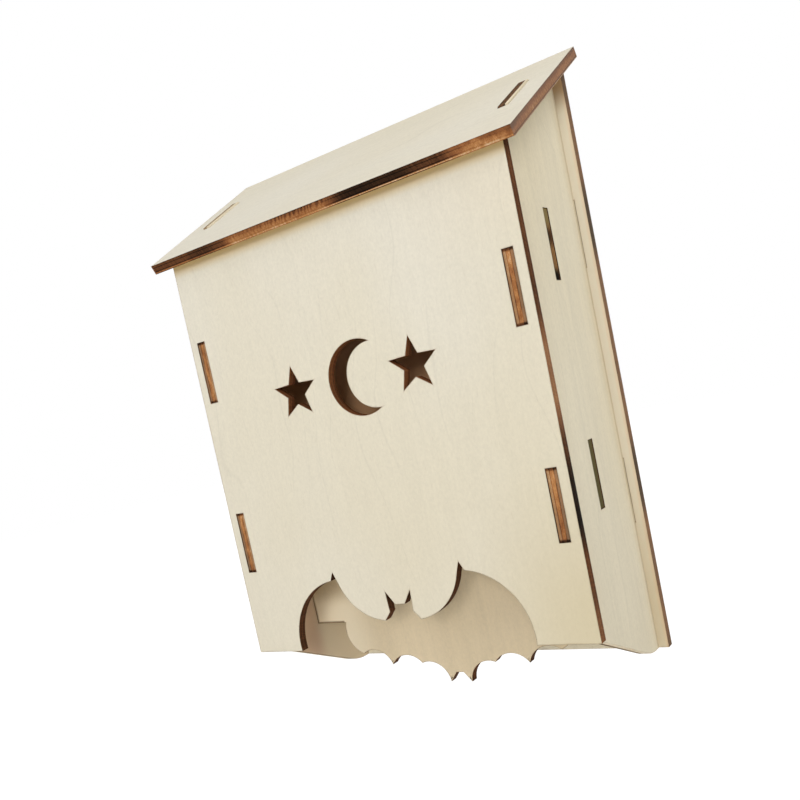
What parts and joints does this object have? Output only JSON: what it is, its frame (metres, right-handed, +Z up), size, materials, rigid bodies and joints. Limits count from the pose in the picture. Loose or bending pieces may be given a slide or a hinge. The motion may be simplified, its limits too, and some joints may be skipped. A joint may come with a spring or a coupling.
{
  "type": "bat box",
  "caption": "Wall-hung bat box of slotted plywood boards with a sloping roof, an open bottom, an inner partition and a bat-shaped way in cut from the front.",
  "frame": {"origin": "on the wall plane, which is the back board's rear face, on the centre line and level with the front board's lower edge", "axes": "+X to the right of someone facing the front, +Y straight into the wall, +Z up"},
  "size_m": [0.1296, 0.0568, 0.1802],
  "materials": {
    "plywood": "unfinished pale plywood with edges browned by laser cutting"
  },
  "bodies": {
    "root": {"front_panel": "plywood", "back_panel": "plywood", "left_side_panel": "plywood", "right_side_panel": "plywood", "inner_partition": "plywood", "roof_panel": "plywood"}
  },
  "joints": []
}
